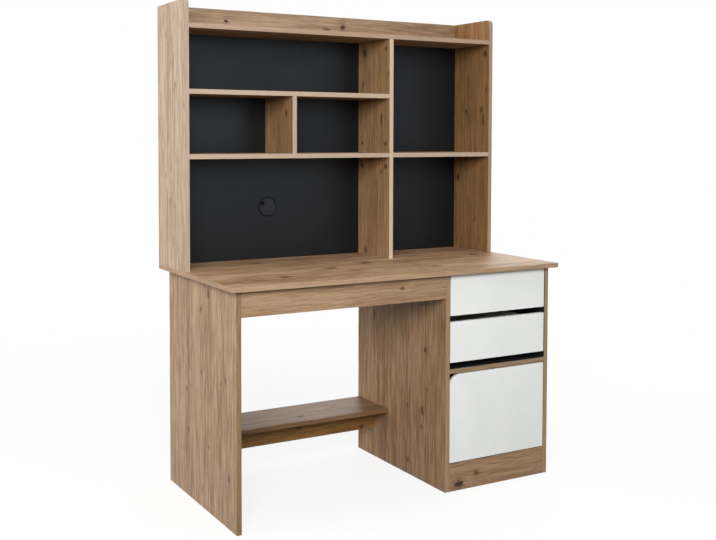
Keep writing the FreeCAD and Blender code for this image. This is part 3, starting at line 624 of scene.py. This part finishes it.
def metal(name, dull, bright, roughness, drawn_out=(1.0, 1.0, 1.0), strength=0.15):
    """Metal with a cloudy plating and a fine grain, drawn out along the axis with the small share."""
    material, net, principled = new_material(name, Metallic=1.0)
    place = place_on(net)
    cloud = net.noise(place, scale=60.0, detail=3.0, roughness=0.6)
    grain = net.noise(net.stretch(place, drawn_out), scale=900.0, detail=2.0)
    base = net.mix(net.fit(cloud, MOST), colour(*dull), colour(*bright))
    base = net.mix(net.fit(grain, (0.35, 0.75), (0.0, 0.3)), base, colour(*dull))
    both = net.plus(net.times(cloud, 0.5), net.times(grain, 0.5))
    wire(net, principled, base, net.fit(both, MOST, roughness), grain, depth=0.0001, strength=strength)
    return material


def beech():
    """Beech dowel: pale wood with short dark flecks along its length."""
    material, net, principled = new_material("beech_dowel", Specular_IOR_Level=0.4)
    fleck = net.noise(net.stretch(place_on(net), (900.0, 900.0, 140.0)), detail=2.0)
    base = net.mix(net.fit(fleck, (0.4, 0.72)), *BEECH_TONES)
    roughness = net.fit(fleck, MOST, (0.6, 0.7))
    wire(net, principled, base, roughness, fleck, depth=0.0002, strength=0.3)
    return material


def black_plastic(name, dark, bright, gloss=0.25):
    """Moulded plastic with a fine spark-eroded grain."""
    material, net, principled = new_material(name, Specular_IOR_Level=gloss)
    place = place_on(net)
    grain = net.noise(place, scale=1500.0, detail=2.0)
    cloud = net.noise(place, scale=40.0, detail=2.0)
    base = net.mix(net.fit(grain, (0.35, 0.7)), colour(*dark), colour(*bright))
    roughness = net.fit(cloud, MOST, (0.42, 0.32))
    wire(net, principled, base, roughness, grain, depth=0.0001, strength=0.35)
    return material


WHITE = white_board()
BLACK = black_board()
LINEN = drawer_board()
SLIDE = metal("slide_zinc", (158, 161, 164), (184, 187, 190), (0.36, 0.44), drawn_out=(1.0, 0.03, 1.0))
HINGE = metal("hinge_nickel", (184, 182, 177), (208, 205, 199), (0.34, 0.42))
CAM = metal("cam_zinc", (126, 127, 128), (154, 155, 156), (0.46, 0.56), strength=0.3)
BOLT = metal("bolt_steel", (122, 124, 126), (176, 178, 180), (0.26, 0.4))
BEECH = beech()
CAP = black_plastic("grommet_cap", (18, 19, 21), (24, 25, 27))
# Black plastic and painted shade: the liner is darker than its plastic, for the shadow ring round the
# grommet's cap.
LINER_AND_RING_SHADE = black_plastic("grommet_liner", (3, 3, 4), (6, 6, 7), gloss=0.1)
BRISTLE = black_plastic("brush_nylon", (6, 6, 7), (12, 12, 13))
PEDESTAL_SHEET = thin_sheet("pedestal_hardboard", "y", 1.0)
DRAWER_SHEET = thin_sheet("drawer_hardboard", "z", -1.0)

# The small radius on the edges of each kind of piece, and the steps that round it.
EDGE_STEPS = 2
BOARD_EDGE = 0.0007
FRONT_EDGE = 0.0009
BACK_EDGE = 0.0005
DRAWER_EDGE = 0.0004
METAL_EDGE = 0.0002
SLEEVE_EDGE = 0.0004
CAP_EDGE = 0.0003
# Corners nearer than this are one corner, and edges that turn by more than this angle are sharp.
SAME_PLACE = 0.000002
SHARP_TURN = math.radians(40)

DRAWERS = ("upper", "lower")
HINGES = ("lower", "upper")


def dress(node, material, edge=0.0):
    """Gives a CAD node its finish, and softens its sharp edges by a small radius."""
    piece = NODES[node]
    if edge:
        piece.modifiers.new("join", "WELD").merge_threshold = SAME_PLACE
        bevel = piece.modifiers.new("soft edges", "BEVEL")
        bevel.width = edge
        bevel.segments = EDGE_STEPS
        bevel.limit_method = "ANGLE"
        bevel.angle_limit = SHARP_TURN
        bevel.harden_normals = True
    if not piece.material_slots:
        piece.data.materials.append(material)
    for slot in piece.material_slots:
        slot.material = material


def dress_all():
    """Gives every CAD node its finish."""
    for number, (board, look) in enumerate(BOARDS.items()):
        dress(board, oak_board(board, number, **look), BOARD_EDGE)
    for front in ("upper_drawer_front", "lower_drawer_front", "door"):
        dress(front, WHITE, FRONT_EDGE)
    for back in ("hutch_back_left", "hutch_back_right"):
        dress(back, BLACK, BACK_EDGE)
    for drawer in DRAWERS:
        for part in ("side_left", "side_right", "back"):
            dress(f"{drawer}_drawer_{part}", LINEN, DRAWER_EDGE)
        dress(f"{drawer}_drawer_bottom", DRAWER_SHEET)
        for member in ("outer", "middle", "inner"):
            for side in ("left", "right"):
                dress(f"{drawer}_slide_{member}_{side}", SLIDE, METAL_EDGE)
    for hinge in HINGES:
        for part in ("cup", "arm", "plate"):
            dress(f"{hinge}_hinge_{part}", HINGE, METAL_EDGE)
    dress("pedestal_back", PEDESTAL_SHEET)
    dress("cam_locks", CAM)
    dress("cam_bolts", BOLT)
    dress("dowels", BEECH)
    dress("grommet_sleeve", LINER_AND_RING_SHADE, SLEEVE_EDGE)
    dress("grommet_cap", CAP, CAP_EDGE)


dress_all()


# Trees for small pieces that repeat

SEED = 11
# A head's sides, and the length of its cross as a share of its top.
HEAD_SIDES = 28
CROSS_SHARE = 0.72
# A bristle's sides, and its tip and its least length as shares of its root and its length.
BRISTLE_SIDES = 5
BRISTLE_TIP = 0.5
SHORTEST_BRISTLE = 0.86


def point_axis(net):
    """The axis that each point carries."""
    carried = net.add("GeometryNodeInputNamedAttribute", "axis", settings={"data_type": "FLOAT_VECTOR"})
    return carried.outputs[0]


def stand_along(net, vector):
    """The turn that stands a piece along a vector."""
    return net.add("FunctionNodeAlignRotationToVector", Vector=vector, settings={"axis": "Z"}).outputs[0]


def chance_between(net, least, most, seed):
    """A number by chance for each point."""
    return net.add("FunctionNodeRandomValue", None, None, least, most, Seed=seed).outputs[1]


def keep_pieces(net, given, pieces, label):
    """Makes instances plain geometry, gives them their finish and sends them out of the tree."""
    real = net.add("GeometryNodeRealizeInstances", pieces).outputs[0]
    done = net.add("GeometryNodeSetMaterial", real, None, given["Finish"]).outputs[0]
    net.put(done, net.add("NodeGroupOutput").inputs[label])


def make_head_tree():
    """A low round head on each point, along its axis, with a cross recess where one has a depth."""
    tree, net, given = new_group(
        "fastener heads",
        {"Points": "Geometry", "Diameter": "Float", "Height": "Float", "Top share": "Float",
         "Recess width": "Float", "Recess depth": "Float", "Seed": "Int", "Finish": "Material"},
        {"Heads": "Geometry"}, "GeometryNodeTree")
    radius = net.times(given["Diameter"], 0.5)
    plain = net.add("GeometryNodeMeshCone", Vertices=HEAD_SIDES,
                    Radius_Top=net.times(radius, given["Top share"]), Radius_Bottom=radius,
                    Depth=given["Height"]).outputs["Mesh"]
    length = net.times(net.times(given["Diameter"], given["Top share"]), CROSS_SHARE)
    # The bars of the cross stand out of the head as far as they go in.
    both_depths = net.times(given["Recess depth"], 2.0)
    lift = net.join(0.0, 0.0, given["Height"])
    cut = net.add("GeometryNodeMeshBoolean", Mesh_1=plain,
                  settings={"operation": "DIFFERENCE", "solver": "EXACT"})
    for sides in ((length, given["Recess width"]), (given["Recess width"], length)):
        bar = net.add("GeometryNodeMeshCube", net.join(*sides, both_depths)).outputs["Mesh"]
        lifted = net.add("GeometryNodeTransform", bar, Translation=lift).outputs[0]
        net.put(lifted, cut.inputs["Mesh 2"])
    head = net.add("GeometryNodeSwitch", net.above(given["Recess depth"], 0.0), plain, cut.outputs["Mesh"],
                   settings={"input_type": "GEOMETRY"}).outputs[0]
    turn = chance_between(net, 0.0, math.pi / 2, given["Seed"])
    spin = net.add("FunctionNodeAxisAngleToRotation", (0.0, 0.0, 1.0), turn).outputs[0]
    stand = net.add("FunctionNodeRotateRotation", stand_along(net, point_axis(net)), spin,
                    settings={"rotation_space": "LOCAL"}).outputs[0]
    heads = net.add("GeometryNodeInstanceOnPoints", Points=given["Points"], Instance=head, Rotation=stand)
    keep_pieces(net, given, heads.outputs[0], "Heads")
    return tree


def make_brush_tree():
    """Bristles that start at each point, lean by chance about its axis and taper to their tips."""
    tree, net, given = new_group(
        "brush",
        {"Points": "Geometry", "Length": "Float", "Thickness": "Float", "Spread": "Float", "Seed": "Int",
         "Finish": "Material"},
        {"Brush": "Geometry"}, "GeometryNodeTree")
    root = net.times(given["Thickness"], 0.5)
    bristle = net.add("GeometryNodeMeshCone", Vertices=BRISTLE_SIDES,
                      Radius_Top=net.times(root, BRISTLE_TIP), Radius_Bottom=root,
                      Depth=given["Length"]).outputs["Mesh"]
    chance = net.add("FunctionNodeRandomValue", (-1.0, -1.0, -1.0), (1.0, 1.0, 1.0), Seed=given["Seed"],
                     settings={"data_type": "FLOAT_VECTOR"}).outputs[0]
    drift = net.add("ShaderNodeVectorMath", chance, Scale=given["Spread"], settings={"operation": "SCALE"})
    stand = stand_along(net, net.vector("ADD", point_axis(net), drift.outputs[0]))
    share = chance_between(net, SHORTEST_BRISTLE, 1.0, given["Seed"])
    grown = net.add("GeometryNodeInstanceOnPoints", Points=given["Points"], Instance=bristle, Rotation=stand,
                    Scale=net.join(1.0, 1.0, share))
    keep_pieces(net, given, grown.outputs[0], "Brush")
    return tree


def set_out(name, tree, body, slot, finish, points, **sizes):
    """Runs a tree on points, each a place and an axis, and keeps the result as one plain piece of a body."""
    mesh = bpy.data.meshes.new(name)
    mesh.from_pydata([place for place, _ in points], [], [])
    axes = mesh.attributes.new("axis", "FLOAT_VECTOR", "POINT")
    axes.data.foreach_set("vector", [part for _, axis in points for part in axis])
    piece = bpy.data.objects.new(name, mesh)
    bpy.context.scene.collection.objects.link(piece)
    grow = piece.modifiers.new("grow", "NODES")
    grow.node_group = tree
    values = {label.replace("_", " "): value for label, value in sizes.items()}
    values.update({"Seed": SEED, "Finish": finish})
    for socket in tree.interface.items_tree:
        if socket.in_out == "INPUT" and socket.name in values:
            grow[socket.identifier] = values[socket.name]
    grown = piece.evaluated_get(bpy.context.evaluated_depsgraph_get())
    piece.data = bpy.data.meshes.new_from_object(grown)
    piece.modifiers.clear()
    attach(piece, body)


# Where the small pieces go, from the boxes of the nodes that carry them

# The ways that heads look.
TO_LEFT = (-1, 0, 0)
TO_RIGHT = (1, 0, 0)
TO_REAR = (0, 1, 0)
# Hinges: screws above and below the middle of a plate or a cup, and the one through the arm.
PLATE_SCREW_REACH = 0.016
CUP_SCREW_REACH = 0.024
ARM_THICKNESS = 0.002
ARM_SCREW_INSET = 0.0125
# The nails of the pedestal's back sheet, counted with those at its corners.
NAIL_INSET = 0.008
NAILS_UP = 9
NAILS_ACROSS = 6
# The cams under the desktop: in from the front and the rear of a side board, and down from its top.
CAM_INSET = 0.080
CAM_DROP = 0.024
# The screws of the slides, behind the front ends of their channels.
CHANNEL_WALL = 0.0012
OUTER_SCREW_STEPS = (0.041, 0.231, 0.421)
INNER_SCREW_STEPS = (0.026, 0.201, 0.401)
# The screws and cams of a drawer, up from the lower edge of its front.
BACK_SCREW_HEIGHTS = (0.044, 0.092)
FRONT_CAM_HEIGHTS = (0.050, 0.090)
FRONT_CAM_INSET = 0.024
# The grommet's brush: rows of bristles behind the front of its sleeve.
BRUSH_RADIUS = 0.027
BRUSH_ROWS = (0.0055, 0.0090, 0.0125)
BRISTLES_IN_ROW = 230


def box_of(node):
    """A node's lowest corner, highest corner and middle."""
    low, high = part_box(node)
    return low, high, (low + high) / 2


def face_of(node, way):
    """Where a node's left or right face lies, whichever looks that way."""
    low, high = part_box(node)
    return high.x if way == TO_RIGHT else low.x


def plate_screws():
    """Two screws in each hinge plate, then one that holds each arm to its plate."""
    in_plates, in_arms = [], []
    for hinge in HINGES:
        low, high, middle = box_of(f"{hinge}_hinge_plate")
        for step in (-PLATE_SCREW_REACH, PLATE_SCREW_REACH):
            in_plates.append(((low.x, middle.y, middle.z + step), TO_LEFT))
        in_arms.append(((low.x - ARM_THICKNESS, high.y - ARM_SCREW_INSET, middle.z), TO_LEFT))
    return in_plates + in_arms


def cup_screws():
    """Two screws in the flange of each hinge cup."""
    points = []
    for hinge in HINGES:
        _, high, middle = box_of(f"{hinge}_hinge_cup")
        for step in (-CUP_SCREW_REACH, CUP_SCREW_REACH):
            points.append(((middle.x, high.y, middle.z + step), TO_REAR))
    return points


def sheet_nails():
    """Nails up both edges of the pedestal's back sheet, then across its foot, its middle and its top."""
    low, high, _ = box_of("pedestal_back")
    left, right = low.x + NAIL_INSET, high.x - NAIL_INSET
    foot, top = low.z + NAIL_INSET, high.z - NAIL_INSET
    heights = [foot + (top - foot) * step / (NAILS_UP - 1) for step in range(NAILS_UP)]
    widths = [left + (right - left) * step / (NAILS_ACROSS - 1) for step in range(NAILS_ACROSS)]
    columns = [(x, z) for x in (left, right) for z in heights]
    rows = [(x, z) for z in (foot, (foot + top) / 2, top) for x in widths[1:-1]]
    return [((x, high.y, z), TO_REAR) for x, z in columns + rows]


def side_cams():
    """Two cams under the desktop on the inner face of each side board."""
    points = []
    for board, way in (("desk_left_side", TO_RIGHT), ("pedestal_left_side", TO_RIGHT),
                       ("pedestal_right_side", TO_LEFT)):
        low, high, _ = box_of(board)
        for y in (low.y + CAM_INSET, high.y - CAM_INSET):
            points.append(((face_of(board, way), y, high.z - CAM_DROP), way))
    return points


def channel_screws(drawer, member, left_way, right_way, steps):
    """Screws along the walls of a drawer's left and right channels, with their heads inside the channels."""
    points = []
    for side, way in (("left", left_way), ("right", right_way)):
        low, high, middle = box_of(f"{drawer}_slide_{member}_{side}")
        x = low.x + CHANNEL_WALL if way == TO_RIGHT else high.x - CHANNEL_WALL
        points += [((x, low.y + step, middle.z), way) for step in steps]
    return points


def back_screws(drawer):
    """Screws through the outside of a drawer's sides into its back."""
    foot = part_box(f"{drawer}_drawer_front")[0].z
    _, _, middle = box_of(f"{drawer}_drawer_back")
    return [((face_of(f"{drawer}_drawer_side_{side}", way), middle.y, foot + height), way)
            for side, way in (("left", TO_LEFT), ("right", TO_RIGHT)) for height in BACK_SCREW_HEIGHTS]


def front_cams(drawer):
    """Cams on the inside of a drawer's sides that hold its front."""
    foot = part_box(f"{drawer}_drawer_front")[0].z
    points = []
    for side, way in (("left", TO_RIGHT), ("right", TO_LEFT)):
        board = f"{drawer}_drawer_side_{side}"
        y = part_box(board)[0].y + FRONT_CAM_INSET
        points += [((face_of(board, way), y, foot + height), way) for height in FRONT_CAM_HEIGHTS]
    return points


def brush_points():
    """Points round the inside of the cable grommet's sleeve, each looking at its middle."""
    low, _, middle = box_of("grommet_sleeve")
    points = []
    for row, depth in enumerate(BRUSH_ROWS):
        for step in range(BRISTLES_IN_ROW):
            angle = 2 * math.pi * (step + row / len(BRUSH_ROWS)) / BRISTLES_IN_ROW
            across, up = math.cos(angle), math.sin(angle)
            place = (middle.x + BRUSH_RADIUS * across, low.y + depth, middle.z + BRUSH_RADIUS * up)
            points.append((place, (-across, 0, -up)))
    return points


HEADS = make_head_tree()
BRUSH = make_brush_tree()
SCREW = dict(Diameter=0.0074, Height=0.0019, Top_share=0.66, Recess_width=0.0011, Recess_depth=0.0013)
FLAT_SCREW = dict(SCREW, Height=0.0007, Recess_depth=0.0005)
CAM_FACE = dict(Diameter=0.0142, Height=0.0004, Top_share=0.96, Recess_width=0.0024, Recess_depth=0.0003)
NAIL = dict(Diameter=0.0055, Height=0.0008, Top_share=0.6, Recess_width=0.001, Recess_depth=0.0)
BRISTLE_SIZES = dict(Length=0.026, Thickness=0.0009, Spread=0.07)

set_out("hinge_plate_screws", HEADS, "desk", "hinge_steel", HINGE, plate_screws(), **SCREW)
set_out("hinge_cup_screws", HEADS, "door", "hinge_steel", HINGE, cup_screws(), **SCREW)
set_out("back_sheet_nails", HEADS, "desk", "bolt_steel", BOLT, sheet_nails(), **NAIL)
set_out("cam_faces", HEADS, "desk", "cam_zinc", CAM, side_cams(), **CAM_FACE)
for drawer in DRAWERS:
    outer = channel_screws(drawer, "outer", TO_RIGHT, TO_LEFT, OUTER_SCREW_STEPS)
    inner = channel_screws(drawer, "inner", TO_LEFT, TO_RIGHT, INNER_SCREW_STEPS)
    body = f"{drawer}_drawer"
    set_out(f"{drawer}_slide_screws_pedestal", HEADS, "desk", "slide_steel", SLIDE, outer, **FLAT_SCREW)
    set_out(f"{drawer}_slide_screws_drawer", HEADS, body, "slide_steel", SLIDE, inner, **SCREW)
    set_out(f"{drawer}_back_screws", HEADS, body, "bolt_steel", BOLT, back_screws(drawer), **FLAT_SCREW)
    set_out(f"{drawer}_front_cams", HEADS, body, "cam_zinc", CAM, front_cams(drawer), **CAM_FACE)
set_out("grommet_brush", BRUSH, "desk", "black_plastic", BRISTLE, brush_points(), **BRISTLE_SIZES)


# Floor, light and camera

# The floor lies just under the desk. It is seen nearly white, with a share of shadow that fades with the
# distance from the desk's middle, and it throws back only a little warm light.
FLOOR_REACH = 9.0
FLOOR_LEVEL = -0.0005
FLOOR_SEEN = colour(246, 246, 245)
FLOOR_BOUNCE = colour(84, 77, 69)
SHADOW_SHARE = 0.17
SHADOW_FADE = (1.1, 3.2)
WHITE_LIGHT = (1.0, 1.0, 1.0, 1.0)
SOFT_LIGHT = (1.0, 0.99, 0.98, 1.0)
SOFT_STRENGTH = 0.14

# Each lamp is a square soft box: its place, the point that it faces, its width and its power in watts.
LAMPS = {
    "front_soft_box": dict(place=(-2.38, -3.67, 2.34), target=(0.0, 0.0, 0.9), width=1.75, watts=213.0),
    "top_soft_box": dict(place=(0.0, -1.2, 4.0), target=(0.0, -0.1, 0.76), width=2.2, watts=33.0),
    "left_soft_box": dict(place=(-3.6, 1.2, 2.2), target=(-0.6, 0.2, 1.1), width=2.4, watts=79.0),
    "right_soft_box": dict(place=(3.6, 0.5, 2.1), target=(0.6, 0.0, 0.9), width=2.4, watts=45.0),
    "cool_soft_box": dict(place=(1.4, -4.3, 2.0), target=(-0.4, 0.3, 1.5), width=1.2, watts=26.0,
                          tint=(0.64, 0.82, 1.0)),
    "rear_soft_box": dict(place=(2.6, 3.6, 2.4), target=(0.0, 0.2, 0.9), width=2.4, watts=70.0),
}

# The camera, with film and lens in millimetres and turns in degrees. At LEVEL it looks straight ahead.
FILM_WIDTH = 36.0
LENS = 51.4291
SHIFT_ACROSS = 0.0085
SHIFT_UP = -0.12
CAMERA_PLACE = (-1.8088, -3.1006, 1.2052)
HEADING = -29.7826
LEVEL = 90.0
PITCH = -2.6740
ROLL = 0.1308


def background_ray(net):
    """1 for rays that see the background itself: from the camera, or off and through the object's gloss."""
    path = net.add("ShaderNodeLightPath").outputs
    return net.larger(net.larger(path["Is Camera Ray"], path["Is Glossy Ray"]), path["Is Transmission Ray"])


def mix_shaders(net, share, first, second, output):
    """Wires two shaders, mixed by a share, to an output node of that kind."""
    both = net.add("ShaderNodeMixShader", share, first.outputs[0], second.outputs[0])
    net.put(both.outputs[0], net.add(output).inputs["Surface"])


def lay_floor():
    """A plain pale floor: it shows the shadow close by, runs out into white and throws little light back."""
    corners = [(x * FLOOR_REACH, y * FLOOR_REACH, FLOOR_LEVEL)
               for x, y in ((-1, -1), (1, -1), (1, 1), (-1, 1))]
    mesh = bpy.data.meshes.new("floor")
    mesh.from_pydata(corners, [], [(0, 1, 2, 3)])
    floor = bpy.data.objects.new("floor", mesh)
    bpy.context.scene.collection.objects.link(floor)
    material = bpy.data.materials.new("pale_floor")
    material.use_nodes = True
    material.node_tree.nodes.clear()
    net = Wiring(material.node_tree)
    seen = background_ray(net)
    shadow = net.fit(net.vector("LENGTH", place_on(net)), SHADOW_FADE, (SHADOW_SHARE, 0.0))
    bare = net.add("ShaderNodeBsdfDiffuse", Color=net.mix(seen, FLOOR_BOUNCE, FLOOR_SEEN))
    white = net.add("ShaderNodeEmission", Color=WHITE_LIGHT, Strength=1.0)
    mix_shaders(net, net.times(seen, net.minus(1.0, shadow)), bare, white, "ShaderNodeOutputMaterial")
    floor.data.materials.append(material)


def light_world():
    """White where it is seen, and a soft even light where it only lights the object."""
    world = bpy.data.worlds.new("studio")
    bpy.context.scene.world = world
    world.use_nodes = True
    world.node_tree.nodes.clear()
    net = Wiring(world.node_tree)
    soft = net.add("ShaderNodeBackground", Color=SOFT_LIGHT, Strength=SOFT_STRENGTH)
    white = net.add("ShaderNodeBackground", Color=WHITE_LIGHT, Strength=1.0)
    mix_shaders(net, background_ray(net), soft, white, "ShaderNodeOutputWorld")


def hang_lamp(name, place, target, width, watts, tint=(1.0, 1.0, 1.0)):
    """A square soft box at a place, turned to a target."""
    light = bpy.data.lights.new(name, "AREA")
    light.shape = "SQUARE"
    light.size = width
    light.energy = watts
    light.color = tint
    lamp = bpy.data.objects.new(name, light)
    bpy.context.scene.collection.objects.link(lamp)
    lamp.location = place
    lamp.rotation_euler = (Vector(target) - Vector(place)).to_track_quat("-Z", "Y").to_euler()


def set_camera():
    """The photograph's view: from the front left, a little above the desktop."""
    view = bpy.data.cameras.new("camera")
    view.sensor_width = FILM_WIDTH
    view.lens = LENS
    view.shift_x = SHIFT_ACROSS
    view.shift_y = SHIFT_UP
    camera = bpy.data.objects.new("camera", view)
    bpy.context.scene.collection.objects.link(camera)
    heading = Matrix.Rotation(math.radians(HEADING), 4, "Z")
    pitch = Matrix.Rotation(math.radians(LEVEL + PITCH), 4, "X")
    roll = Matrix.Rotation(math.radians(ROLL), 4, "Z")
    camera.matrix_world = Matrix.Translation(CAMERA_PLACE) @ heading @ pitch @ roll
    bpy.context.scene.camera = camera


lay_floor()
light_world()
for lamp_name, lamp_look in LAMPS.items():
    hang_lamp(lamp_name, **lamp_look)
set_camera()
bpy.context.scene.view_settings.view_transform = "Standard"
